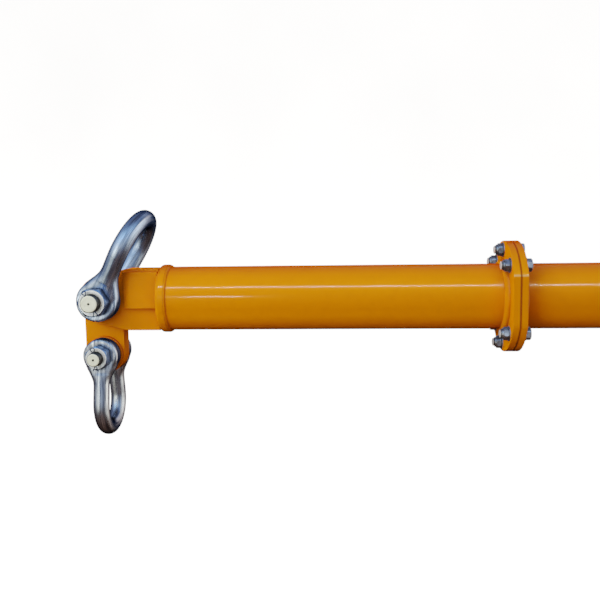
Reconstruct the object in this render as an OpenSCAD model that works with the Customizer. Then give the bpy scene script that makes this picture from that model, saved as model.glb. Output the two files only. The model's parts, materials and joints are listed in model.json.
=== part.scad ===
// Modular tubular spreader beam with drop links and bolt-type bow shackles.
// Millimetres. Origin at the middle of the beam on the tube axis,
// X along the beam, Z up, Y across. The left end unit is the one at -X.

/* [Part to show] */
// Sub-part to draw, or the whole assembly

/* [Beam] */
// Outside diameter of the tubes
tube_od = 168.3; // [165:0.1:172]
// Wall thickness of the tubes
tube_wall = 10; // [6:0.5:14]
// Length of the centre strut between its two joint faces
strut_len = 500; // [300:50:3000]
// Distance from the upper pin axis to the joint face of an end unit
end_reach = 1068; // [900:1:1300]

/* [Flange joints] */
// Outside diameter of the joint flanges
flange_od = 286; // [280:1:300]
// Width across the two upright side flats of a flange
flange_flats = 257; // [250:1:264]
// Thickness of one flange
flange_t = 18; // [14:1:24]
// Bolt circle diameter
bolt_pcd = 240; // [236:1:244]
// Bolt diameter
bolt_d = 20; // [18:1:22]
// Leg length of the weld between a tube and its flange
flange_weld = 13; // [8:0.5:16]

/* [Fork] */
// Distance from the upper pin axis to the outer face of the end plate
fork_reach = 156; // [150:1:170]
// Thickness of each fork plate
fork_t = 15; // [12:0.5:15]
// Clear gap between the two fork plates
fork_gap = 42; // [41.5:0.1:43]
// Radius of the fork nose round the upper pin
nose_r = 62; // [58:0.5:66]
// Height of a fork plate at the end plate
fork_h = 162; // [156:1:166]
// Distance from the pin axis at which the taper to the nose starts
taper_x = 66; // [60:1:80]
// Thickness of the stiffening pads on the outer faces of the fork
pad_t = 14; // [10:0.5:16]
// Diameter of the end plate
plate_d = 180; // [176:1:184]
// Thickness of the end plate
plate_t = 22; // [18:1:26]

/* [Drop link] */
// Distance between the upper and lower pin axes
link_drop = 146; // [142:1:152]
// Width of the drop link
link_w = 105; // [100:1:108]
// Thickness of the drop link
link_t = 40; // [34:0.5:40]
// Diameter of the bosses round the lower hole
boss_d = 96; // [90:1:100]
// Thickness of each boss
boss_t = 10; // [8:0.5:10]

/* [Upper shackle] */
// Pin diameter
u_pin_d = 51; // [48:0.5:52]
// Clear jaw width between the ears
u_jaw = 73; // [72.5:0.1:76]
// Diameter of the round bar at the crown of the bow
u_bar_d = 47.5; // [44:0.5:49]
// Ear diameter
u_ear_d = 107; // [100:1:110]
// Radius of the bow, measured to the centre of the bar
u_bow_r = 90; // [84:1:92]
// Distance from the pin axis to the centre of the bow
u_bow_h = 151; // [140:1:156]
// Lean of the bow towards the middle of the beam
u_lean = 28.5; // [0:0.5:34]

/* [Lower shackle] */
// Pin diameter
l_pin_d = 41.5; // [38:0.5:42]
// Clear jaw width between the ears
l_jaw = 60.5; // [60:0.1:64]
// Diameter of the round bar at the crown of the bow
l_bar_d = 41.5; // [38:0.5:42]
// Ear diameter
l_ear_d = 92; // [86:1:94]
// Radius of the bow, measured to the centre of the bar
l_bow_r = 70; // [66:0.5:72]
// Distance from the pin axis to the centre of the bow
l_bow_h = 134; // [128:1:140]

/* [Hidden] */

paint = [0.86, 0.52, 0.02];
paint_dark = [0.74, 0.42, 0.02];
galvanised = [0.68, 0.70, 0.74];
zinc = [0.80, 0.78, 0.68];
bright_steel = [0.60, 0.61, 0.63];

eps = 0.01;
pin_x = strut_len / 2 + end_reach;
tube_id = tube_od - 2 * tube_wall;
plate_in = fork_reach + plate_t;
plate_round = 9;
plate_weld = 6;
fork_in = fork_gap / 2;
fork_out = fork_in + fork_t;
hole_play = 3;
// the tapered edges end just inside the nose
nose_tuck = 0.98;
pad_low = -22;
pad_high = 74;
pad_start = nose_r;
pad_bevel = 20;
pad_bevel_t = 6;
fork_weld = 7;
// the upright welds stop short of the plate edges
weld_short = 4;
pad_weld_top = 66;

// shackle ears are a little slimmer than the bar is thick
u_ear_t = 44;
l_ear_t = 37;
u_neck_d = 46.5;
l_neck_d = 40.5;
u_thread_d = 45;
l_thread_d = 34.5;
u_nut_af = 69;
l_nut_af = 57;
u_nut_t = 30;
l_nut_t = 28;
u_pin_end = 132;
l_pin_end = 118;
u_head_d = 76;
l_head_d = 62;
u_head_t = 26;
l_head_t = 22;
pin_side_gap = 0.5;
pin_chamfer = 2;
centre_drill_d = 5;
centre_drill_deep = 3;
bow_hole_play = 1.2;
// flat seat for the nut and head on the outer face of each ear
spot_face = 0.9;
spot_reach = 30;
// each leg runs a little way over the end of the bow's arc
leg_lap = 3;
leg_swell = 0.8;
cotter_wire = 5;
cotter_play = 1.5;
cotter_eye_r = 5.5;
cotter_neck = 3;
cotter_tail = 14;
cotter_spread = 28;
u_cotter_at = 122;
l_cotter_at = 108;
u_cotter_tilt = -27;
l_cotter_tilt = -8;
l_nut_turn = 27;

bolt_hole_d = bolt_d + 2;
bolt_head_af = bolt_d * 1.5;
bolt_head_t = bolt_d * 0.63;
nut_t = bolt_d * 0.8;
washer_d = bolt_d * 1.85;
bolt_chamfer = 1.5;
washer_t = 3;
washer_gap = 0.02;
washer_face = flange_t + washer_t + 2 * washer_gap;
bolt_stick_out = 5;
bolt_angles = [90, 45, 135, -45, -90, -135];

// ---------- shared shapes ----------

// cylinder along Y from y0 to y1
module ycyl(d, y0, y1, fn = 64) {
    translate([0, y0, 0])
    rotate([-90, 0, 0])
    cylinder(h = y1 - y0, d = d, $fn = fn);
}

// cylinder along X from x0 to x1
module xcyl(d, x0, x1, fn = 96) {
    translate([x0, 0, 0])
    rotate([0, 90, 0])
    cylinder(h = x1 - x0, d = d, $fn = fn);
}

// profile drawn as (radius, x), spun about the X axis
module xspin(fn = 96) {
    rotate([0, 90, 0])
    rotate_extrude($fn = fn)
    children();
}

// upright plate in the XZ plane, from y0 to y1
module plate(y0, y1) {
    translate([0, y1, 0])
    rotate([90, 0, 0])
    linear_extrude(height = y1 - y0)
    children();
}

// hexagon along Y with its corners chamfered on one or both faces
module hexagon(af, y0, y1, bore, both) {
    corner_d = af / cos(30);
    chamfer = corner_d * 0.06;
    translate([0, y0, 0])
    rotate([-90, 0, 0])
    difference() {
        intersection() {
            cylinder(h = y1 - y0, d = corner_d, $fn = 6);
            rotate_extrude($fn = 64)
            polygon([
                [0, 0],
                [corner_d / 2 - chamfer * 1.8, 0],
                [corner_d / 2 + 0.2, chamfer * 1.1],
                [corner_d / 2 + 0.2, y1 - y0 - (both ? chamfer * 1.1 : 0)],
                [corner_d / 2 - (both ? chamfer * 1.8 : 0), y1 - y0],
                [0, y1 - y0]
            ]);
        }
        if (bore > 0)
            translate([0, 0, -1])
            cylinder(h = y1 - y0 + 2, d = bore, $fn = 64);
    }
}

// put a left-hand end unit part in place, or turn it round for the right
module at_end(side) {
    translate([side * pin_x, 0, 0])
    rotate([0, 0, side > 0 ? 180 : 0])
    children();
}

// put pin parts in place: both ends have their nuts on the same side
module at_pin(side, drop) {
    translate([side * pin_x, 0, -drop])
    mirror([side > 0 ? 1 : 0, 0, 0])
    children();
}

// ---------- end unit ----------

module end_tube() {
    color(paint)
    difference() {
        xcyl(tube_od, plate_in, end_reach - flange_t);
        xcyl(tube_id, plate_in - 1, end_reach - flange_t + 1);
    }
}

module end_plate() {
    edge = plate_d / 2 - plate_round;
    color(paint)
    xspin()
    polygon([
        [0, fork_reach],
        [edge, fork_reach],
        for (a = [15 : 15 : 75])
            [edge + plate_round * sin(a), fork_reach + plate_round * (1 - cos(a))],
        [plate_d / 2, fork_reach + plate_round],
        [plate_d / 2, plate_in],
        [0, plate_in]
    ]);
}

module plate_weld_bead() {
    color(paint_dark)
    xspin()
    polygon([
        [tube_od / 2, plate_in],
        [plate_d / 2 - 0.5, plate_in],
        [plate_d / 2 - 1, plate_in + plate_weld * 0.5],
        [tube_od / 2 + 2, plate_in + plate_weld * 0.9],
        [tube_od / 2, plate_in + plate_weld]
    ]);
}

// outline of a fork plate behind its round nose
module fork_taper() {
    dist = sqrt(taper_x * taper_x + fork_h * fork_h / 4);
    turn = atan2(fork_h / 2, taper_x) + acos(nose_r / dist);
    nose_x = nose_tuck * nose_r * cos(turn);
    nose_z = nose_tuck * nose_r * sin(turn);
    polygon([
        [nose_x, nose_z],
        [taper_x, fork_h / 2],
        [fork_reach, fork_h / 2],
        [fork_reach, -fork_h / 2],
        [taper_x, -fork_h / 2],
        [nose_x, -nose_z]
    ]);
}

module fork_plate(front) {
    y0 = front ? -fork_out : fork_in;
    color(paint)
    difference() {
        union() {
            ycyl(2 * nose_r, y0, y0 + fork_t, 96);
            plate(y0, y0 + fork_t)
            fork_taper();
        }
        ycyl(u_pin_d + hole_play, y0 - 1, y0 + fork_t + 1);
    }
}

// one stiffening pad seen from above: a bar with a bevelled outer end
module pad_plan() {
    polygon([
        [pad_start, fork_out],
        [pad_start, fork_out + pad_bevel_t],
        [pad_start + pad_bevel, fork_out + pad_t],
        [fork_reach, fork_out + pad_t],
        [fork_reach, fork_out]
    ]);
}

module fork_pads() {
    color(paint)
    for (s = [0, 1])
        mirror([0, s, 0])
        translate([0, 0, pad_low])
        linear_extrude(height = pad_high - pad_low)
        pad_plan();
}

// upright fillet in the corner between a face at y = face and the end plate
module corner_weld(face, out, z0, z1) {
    translate([0, 0, z0])
    linear_extrude(height = z1 - z0)
    polygon([
        [fork_reach, face],
        [fork_reach - fork_weld, face],
        [fork_reach, face + out * fork_weld]
    ]);
}

module fork_welds() {
    color(paint_dark)
    for (s = [0, 1])
        mirror([0, s, 0])
        union() {
            corner_weld(fork_out + pad_t, 1, pad_low, pad_weld_top);
            corner_weld(fork_out, 1, -fork_h / 2 + weld_short, pad_low);
            corner_weld(fork_in, -1, -fork_h / 2 + weld_short, fork_h / 2 - weld_short);
        }
}

// flange with two upright side flats, its joint face at x = face
module flange(face, out) {
    x0 = out > 0 ? face - flange_t : face;
    difference() {
        xcyl(flange_od, x0, x0 + flange_t);
        xcyl(tube_id, x0 - 1, x0 + flange_t + 1);
        for (s = [-1, 1])
            translate([x0 + flange_t / 2, s * (flange_flats / 2 + 50), 0])
            cube([flange_t + 2, 100, flange_od], center = true);
        bolt_ring()
        xcyl(bolt_hole_d, x0 - 1, x0 + flange_t + 1, 48);
    }
}

module bolt_ring() {
    for (a = bolt_angles)
        rotate([a, 0, 0])
        translate([0, bolt_pcd / 2, 0])
        children();
}

// ring-shaped fillet weld on the tube against a flange
module ring_weld(x, dir) {
    xspin()
    polygon([
        [tube_od / 2, x],
        [tube_od / 2, x + dir * flange_weld],
        [tube_od / 2 + flange_weld * 0.35, x + dir * flange_weld * 0.8],
        [tube_od / 2 + flange_weld * 0.8, x + dir * flange_weld * 0.35],
        [tube_od / 2 + flange_weld, x]
    ]);
}

module end_flange() {
    color(paint)
    flange(end_reach, 1);
}

module end_flange_weld() {
    color(paint_dark)
    ring_weld(end_reach - flange_t, -1);
}

// ---------- drop link ----------

module drop_link() {
    color(paint)
    difference() {
        plate(-link_t / 2, link_t / 2)
        union() {
            circle(d = link_w, $fn = 96);
            translate([0, -link_drop])
            circle(d = link_w, $fn = 96);
            translate([-link_w / 2, -link_drop])
            square([link_w, link_drop]);
        }
        ycyl(u_pin_d + hole_play, -link_t, link_t);
        translate([0, 0, -link_drop])
        ycyl(l_pin_d + hole_play, -link_t, link_t);
    }
}

module link_bosses() {
    color(paint_dark)
    for (s = [0, 1])
        mirror([0, s, 0])
        translate([0, 0, -link_drop])
        difference() {
            ycyl(boss_d, link_t / 2, link_t / 2 + boss_t, 96);
            ycyl(l_pin_d + hole_play, link_t / 2 - 1, link_t / 2 + boss_t + 1);
        }
}

// ---------- shackles ----------

// lean of the straight legs, from the ear centre to where they meet the bow
function leg_lean(e, r, h) = atan2(h, e) - acos(r / sqrt(e * e + h * h));

// bow shackle body with its pin axis on Y and its crown towards +Z
module bow(jaw, ear_t, ear_d, hole_d, neck_d, bar_d, bow_r, bow_h) {
    e = (jaw + ear_t) / 2;
    lean = leg_lean(e, bow_r, bow_h);
    foot = ear_d * 0.2;
    leg = (bow_h - bow_r * sin(lean)) / cos(lean) - foot + leg_lap;
    color(galvanised)
    difference() {
        union() {
            translate([0, 0, bow_h])
            rotate([0, -90, 0])
            rotate([0, 0, -90 - lean])
            rotate_extrude(angle = 180 + 2 * lean, $fn = 96)
            translate([bow_r, 0])
            circle(d = bar_d, $fn = 48);
            for (s = [-1, 1]) {
                translate([0, s * e, 0])
                rotate([-s * lean, 0, 0])
                translate([0, 0, foot])
                cylinder(h = leg, d1 = neck_d, d2 = bar_d + leg_swell, $fn = 48);
                ycyl(ear_d, s * e - ear_t / 2, s * e + ear_t / 2);
            }
        }
        ycyl(hole_d, -e - ear_t, e + ear_t);
        for (s = [0, 1])
            mirror([0, s, 0])
            ycyl(ear_d * spot_face, e + ear_t / 2, e + ear_t / 2 + spot_reach);
    }
}

// bolt-type pin: head at +Y, threaded nut end at -Y with a cross hole
module pin(pin_d, thread_d, ear_face, head_d, head_t, end_y, cotter_at, tilt) {
    seat = ear_face + pin_side_gap;
    color(zinc)
    difference() {
        union() {
            ycyl(pin_d, -seat, seat);
            hexagon(head_d, seat, seat + head_t, 0, true);
            ycyl(thread_d, pin_chamfer - end_y, -seat);
            translate([0, -end_y, 0])
            rotate([-90, 0, 0])
            cylinder(h = pin_chamfer, d1 = thread_d - 1.5 * pin_chamfer, d2 = thread_d, $fn = 64);
        }
        translate([0, -cotter_at, 0])
        rotate([0, tilt, 0])
        translate([0, 0, -thread_d])
        cylinder(h = 2 * thread_d, d = cotter_wire + cotter_play, $fn = 32);
        translate([0, -end_y - eps, 0])
        rotate([-90, 0, 0])
        cylinder(h = centre_drill_deep, d1 = centre_drill_d, d2 = 1, $fn = 32);
    }
}

module pin_nut(af, thick, thread_d, ear_face) {
    color(zinc)
    hexagon(af, -ear_face - pin_side_gap - thick, -ear_face - pin_side_gap, thread_d, true);
}

// split pin through the thread: eye above, two spread tails below
module cotter(thread_d, cotter_at, tilt) {
    half = thread_d / 2 + cotter_neck;
    color(bright_steel)
    translate([0, -cotter_at, 0])
    rotate([0, tilt, 0])
    union() {
        translate([0, 0, -half])
        cylinder(h = 2 * half, d = cotter_wire, $fn = 24);
        translate([0, 0, half + cotter_eye_r])
        rotate([90, 0, 0])
        rotate_extrude($fn = 32)
        translate([cotter_eye_r, 0])
        circle(d = cotter_wire * 0.8, $fn = 20);
        for (s = [-1, 1])
            translate([s * 0.6, 0, 1 - half])
            rotate([0, 180 - s * cotter_spread, 0])
            cylinder(h = cotter_tail, d = cotter_wire * 0.7, $fn = 20);
    }
}

u_ear_face = u_jaw / 2 + u_ear_t;
l_ear_face = l_jaw / 2 + l_ear_t;

module upper_bow() {
    rotate([0, u_lean, 0])
    bow(u_jaw, u_ear_t, u_ear_d, u_pin_d + bow_hole_play, u_neck_d, u_bar_d, u_bow_r, u_bow_h);
}

module lower_bow() {
    translate([0, 0, -link_drop])
    mirror([0, 0, 1])
    bow(l_jaw, l_ear_t, l_ear_d, l_pin_d + bow_hole_play, l_neck_d, l_bar_d, l_bow_r, l_bow_h);
}

module upper_pin() {
    pin(u_pin_d, u_thread_d, u_ear_face, u_head_d, u_head_t, u_pin_end, u_cotter_at, u_cotter_tilt);
}

module lower_pin() {
    pin(l_pin_d, l_thread_d, l_ear_face, l_head_d, l_head_t, l_pin_end, l_cotter_at, l_cotter_tilt);
}

module upper_nut() {
    pin_nut(u_nut_af, u_nut_t, u_thread_d, u_ear_face);
}

module lower_nut() {
    rotate([0, l_nut_turn, 0])
    pin_nut(l_nut_af, l_nut_t, l_thread_d, l_ear_face);
}

module upper_cotter() {
    cotter(u_thread_d, u_cotter_at, u_cotter_tilt);
}

module lower_cotter() {
    cotter(l_thread_d, l_cotter_at, l_cotter_tilt);
}

// ---------- joint fasteners ----------

// nuts face the end unit and heads face the strut
module joint_bolts() {
    nut_end = end_reach - washer_face - nut_t - bolt_stick_out;
    head_face = end_reach + washer_face;
    color(bright_steel)
    bolt_ring()
    union() {
        xcyl(bolt_d, nut_end + bolt_chamfer, head_face, 48);
        translate([nut_end, 0, 0])
        rotate([0, 90, 0])
        cylinder(h = bolt_chamfer, d1 = bolt_d - 2 * bolt_chamfer, d2 = bolt_d, $fn = 48);
        translate([head_face, 0, 0])
        rotate([0, 0, -90])
        hexagon(bolt_head_af, 0, bolt_head_t, 0, false);
    }
}

module joint_nuts() {
    color(bright_steel)
    bolt_ring()
    translate([end_reach - washer_face - nut_t, 0, 0])
    rotate([0, 0, -90])
    hexagon(bolt_head_af, 0, nut_t, bolt_d, true);
}

module joint_washers() {
    color(bright_steel)
    bolt_ring()
    for (x = [end_reach - flange_t - washer_t - washer_gap, end_reach + flange_t + washer_gap])
        difference() {
            xcyl(washer_d, x, x + washer_t, 48);
            xcyl(bolt_d + 1, x - 1, x + washer_t + 1, 48);
        }
}

// ---------- centre strut ----------

strut_end = strut_len / 2;

module strut_tube() {
    color(paint)
    difference() {
        xcyl(tube_od, -strut_end + flange_t, strut_end - flange_t);
        xcyl(tube_id, -strut_end, strut_end);
    }
}

module strut_flange(side) {
    color(paint)
    rotate([0, 0, side > 0 ? 0 : 180])
    flange(strut_end, 1);
}

module strut_welds() {
    color(paint_dark) {
        ring_weld(-strut_end + flange_t, 1);
        ring_weld(strut_end - flange_t, -1);
    }
}

// ---------- drawing ----------

at_end(-1) end_tube();  // end_tube_left
at_end(-1) end_plate();  // end_plate_left
at_end(-1) plate_weld_bead();  // plate_weld_left
at_end(-1) fork_plate(true);  // fork_front_left
at_end(-1) fork_plate(false);  // fork_rear_left
at_end(-1) fork_pads();  // fork_pads_left
at_end(-1) fork_welds();  // fork_welds_left
at_end(-1) end_flange();  // end_flange_left
at_end(-1) end_flange_weld();  // flange_weld_left
at_end(-1) drop_link();  // drop_link_left
at_end(-1) link_bosses();  // link_bosses_left
at_end(-1) upper_bow();  // upper_bow_left
at_pin(-1, 0) upper_pin();  // upper_pin_left
at_pin(-1, 0) upper_nut();  // upper_nut_left
at_pin(-1, 0) upper_cotter();  // upper_cotter_left
at_end(-1) lower_bow();  // lower_bow_left
at_pin(-1, link_drop) lower_pin();  // lower_pin_left
at_pin(-1, link_drop) lower_nut();  // lower_nut_left
at_pin(-1, link_drop) lower_cotter();  // lower_cotter_left
at_end(-1) joint_bolts();  // joint_bolts_left
at_end(-1) joint_nuts();  // joint_nuts_left
at_end(-1) joint_washers();  // joint_washers_left
at_end(1) end_tube();  // end_tube_right
at_end(1) end_plate();  // end_plate_right
at_end(1) plate_weld_bead();  // plate_weld_right
at_end(1) fork_plate(false);  // fork_front_right
at_end(1) fork_plate(true);  // fork_rear_right
at_end(1) fork_pads();  // fork_pads_right
at_end(1) fork_welds();  // fork_welds_right
at_end(1) end_flange();  // end_flange_right
at_end(1) end_flange_weld();  // flange_weld_right
at_end(1) drop_link();  // drop_link_right
at_end(1) link_bosses();  // link_bosses_right
at_end(1) upper_bow();  // upper_bow_right
at_pin(1, 0) upper_pin();  // upper_pin_right
at_pin(1, 0) upper_nut();  // upper_nut_right
at_pin(1, 0) upper_cotter();  // upper_cotter_right
at_end(1) lower_bow();  // lower_bow_right
at_pin(1, link_drop) lower_pin();  // lower_pin_right
at_pin(1, link_drop) lower_nut();  // lower_nut_right
at_pin(1, link_drop) lower_cotter();  // lower_cotter_right
at_end(1) joint_bolts();  // joint_bolts_right
at_end(1) joint_nuts();  // joint_nuts_right
at_end(1) joint_washers();  // joint_washers_right
strut_tube();
strut_flange(-1);  // strut_flange_left
strut_flange(1);  // strut_flange_right
strut_welds();
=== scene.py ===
import json
import math
import bmesh
import bpy
import numpy as np
from mathutils import Matrix, Vector

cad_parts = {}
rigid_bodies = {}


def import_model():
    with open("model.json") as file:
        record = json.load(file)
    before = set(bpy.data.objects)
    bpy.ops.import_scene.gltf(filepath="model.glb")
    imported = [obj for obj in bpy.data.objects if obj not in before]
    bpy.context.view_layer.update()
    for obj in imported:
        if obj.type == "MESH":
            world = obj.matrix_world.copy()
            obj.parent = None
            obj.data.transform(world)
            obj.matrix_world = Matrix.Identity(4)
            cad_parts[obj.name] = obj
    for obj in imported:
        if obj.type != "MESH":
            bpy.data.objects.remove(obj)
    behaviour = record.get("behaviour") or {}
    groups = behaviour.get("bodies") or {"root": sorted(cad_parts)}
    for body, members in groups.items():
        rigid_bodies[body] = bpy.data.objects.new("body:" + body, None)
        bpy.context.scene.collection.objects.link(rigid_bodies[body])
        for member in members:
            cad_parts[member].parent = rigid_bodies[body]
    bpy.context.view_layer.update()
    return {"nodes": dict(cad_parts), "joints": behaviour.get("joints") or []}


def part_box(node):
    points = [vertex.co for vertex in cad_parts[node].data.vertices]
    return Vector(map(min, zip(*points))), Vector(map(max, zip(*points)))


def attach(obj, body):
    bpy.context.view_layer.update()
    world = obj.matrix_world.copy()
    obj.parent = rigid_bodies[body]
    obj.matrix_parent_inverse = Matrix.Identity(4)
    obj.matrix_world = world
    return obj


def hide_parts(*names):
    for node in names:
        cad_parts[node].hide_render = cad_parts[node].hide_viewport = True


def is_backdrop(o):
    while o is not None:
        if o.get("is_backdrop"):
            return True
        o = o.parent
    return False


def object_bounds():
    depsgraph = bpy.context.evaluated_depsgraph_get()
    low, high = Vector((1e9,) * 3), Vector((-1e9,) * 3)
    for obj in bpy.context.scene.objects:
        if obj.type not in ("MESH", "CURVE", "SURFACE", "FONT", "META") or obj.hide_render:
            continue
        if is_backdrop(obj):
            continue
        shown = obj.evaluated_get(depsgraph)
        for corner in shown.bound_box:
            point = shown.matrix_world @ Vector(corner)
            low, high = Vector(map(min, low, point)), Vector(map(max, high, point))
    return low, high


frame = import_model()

RNG = np.random.default_rng(417)
scene = bpy.context.scene
nodes = frame["nodes"]
joints = {j["name"]: j for j in frame["joints"]}

# ---------------------------------------------------------------- places taken from the frame
U_PIN = Vector(joints["upper_shackle_swing_left"]["pos_m"])      # upper pin axis, left end
L_PIN = Vector(joints["lower_shackle_swing_left"]["pos_m"])      # lower pin axis, left end
lo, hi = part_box("end_tube_left")
TUBE_R = (hi.z - lo.z) / 2
lo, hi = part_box("end_plate_left")
PLATE_X0, PLATE_X1, PLATE_R = lo.x, hi.x, (hi.z - lo.z) / 2
lo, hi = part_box("end_flange_left")
FL_X0, FL_X1, FL_R, FL_Y = lo.x, hi.x, (hi.z - lo.z) / 2, (hi.y - lo.y) / 2
FLANGE_T = FL_X1 - FL_X0
lo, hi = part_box("strut_tube")
STRUT_X0, STRUT_X1 = lo.x, hi.x


# ---------------------------------------------------------------- node helpers
class Tree:
    """The node tree of a material or a world, with short calls for the nodes used here."""

    def __init__(self, name, world=False):
        self.mat = (bpy.data.worlds if world else bpy.data.materials).new(name)
        self.mat.use_nodes = True
        self.t = self.mat.node_tree
        self.bsdf = self.t.nodes.get("Principled BSDF")

    def add(self, kind, **inputs):
        n = self.t.nodes.new(kind)
        for k, v in inputs.items():
            self.put(n, k, v)
        return n

    def put(self, n, key, v):
        """Sets or links an input, given by its name with underscores for spaces, or by number as i0, i1."""
        numbered = key[0] == "i" and key[1:].isdigit()
        sock = n.inputs[int(key[1:])] if numbered else n.inputs[key.replace("_", " ")]
        if isinstance(v, bpy.types.NodeSocket):
            self.t.links.new(v, sock)
        elif sock.type == "RGBA" and len(v) == 3:
            sock.default_value = (*v, 1.0)
        else:
            sock.default_value = v

    def math(self, op, a, b=0.0, clamp=False):
        n = self.t.nodes.new("ShaderNodeMath")
        n.operation, n.use_clamp = op, clamp
        self.put(n, "i0", a)
        self.put(n, "i1", b)
        return n.outputs[0]

    def mul(self, a, b):
        return self.math("MULTIPLY", a, b)

    def plus(self, a, b, clamp=False):
        return self.math("ADD", a, b, clamp)

    def vmath(self, op, a, b=None, out=0):
        n = self.t.nodes.new("ShaderNodeVectorMath")
        n.operation = op
        self.put(n, "i0", a)
        if b is not None:
            self.put(n, "i1", b)
        return n.outputs[out]

    def mix(self, fac, a, b, mode="MIX"):
        n = self.t.nodes.new("ShaderNodeMix")
        n.data_type, n.blend_type = "RGBA", mode
        self.put(n, "i0", fac)
        self.put(n, "i6", a)
        self.put(n, "i7", b)
        return n.outputs[2]

    def ramp(self, fac, stops, kind="LINEAR"):
        n = self.t.nodes.new("ShaderNodeValToRGB")
        n.color_ramp.interpolation = kind
        e = n.color_ramp.elements
        while len(e) > len(stops):
            e.remove(e[-1])
        while len(e) < len(stops):
            e.new(0.5)
        for el, (p, c) in zip(e, stops):
            el.position = p
            el.color = (c, c, c, 1) if isinstance(c, (int, float)) else (*c, 1)
        self.put(n, "Fac", fac)
        return n.outputs[0]

    def noise(self, vec, scale, detail=4.0, rough=0.55, dist=0.0):
        return self.add("ShaderNodeTexNoise", Vector=vec, Scale=scale, Detail=detail, Roughness=rough,
                        Distortion=dist).outputs[0]

    def coords(self):
        return self.add("ShaderNodeTexCoord").outputs["Object"]

    def bump(self, height, strength, distance):
        return self.add("ShaderNodeBump", Strength=strength, Distance=distance, Height=height).outputs[0]

    def openness(self, reach):
        """How open a place is within reach, from 0 in a deep corner to 1."""
        ao = self.add("ShaderNodeAmbientOcclusion", Distance=reach)
        ao.samples = 6
        return ao.outputs["AO"]

    def facing(self):
        """0 where a surface faces the eye, to 1 at its outline."""
        return self.add("ShaderNodeLayerWeight", Blend=0.5).outputs["Facing"]

    def edges(self, radius, low, high):
        """1 on convex or concave edges, from how far a rounded normal leans from the true one."""
        bev = self.add("ShaderNodeBevel", Radius=radius)
        bev.samples = 6
        geo = self.add("ShaderNodeNewGeometry")
        dot = self.vmath("DOT_PRODUCT", bev.outputs[0], geo.outputs["True Normal"], 1)
        off = self.math("SUBTRACT", 1.0, dot)
        return self.ramp(off, [(low, 0.0), (high, 1.0)])

    def set(self, **kw):
        for k, v in kw.items():
            self.put(self.bsdf, k.replace("_", " "), v)
        return self.mat


def srgb(r, g, b):
    f = lambda c: (c / 255 / 12.92) if c / 255 <= 0.04045 else ((c / 255 + 0.055) / 1.055) ** 2.4
    return (f(r), f(g), f(b))


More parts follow.
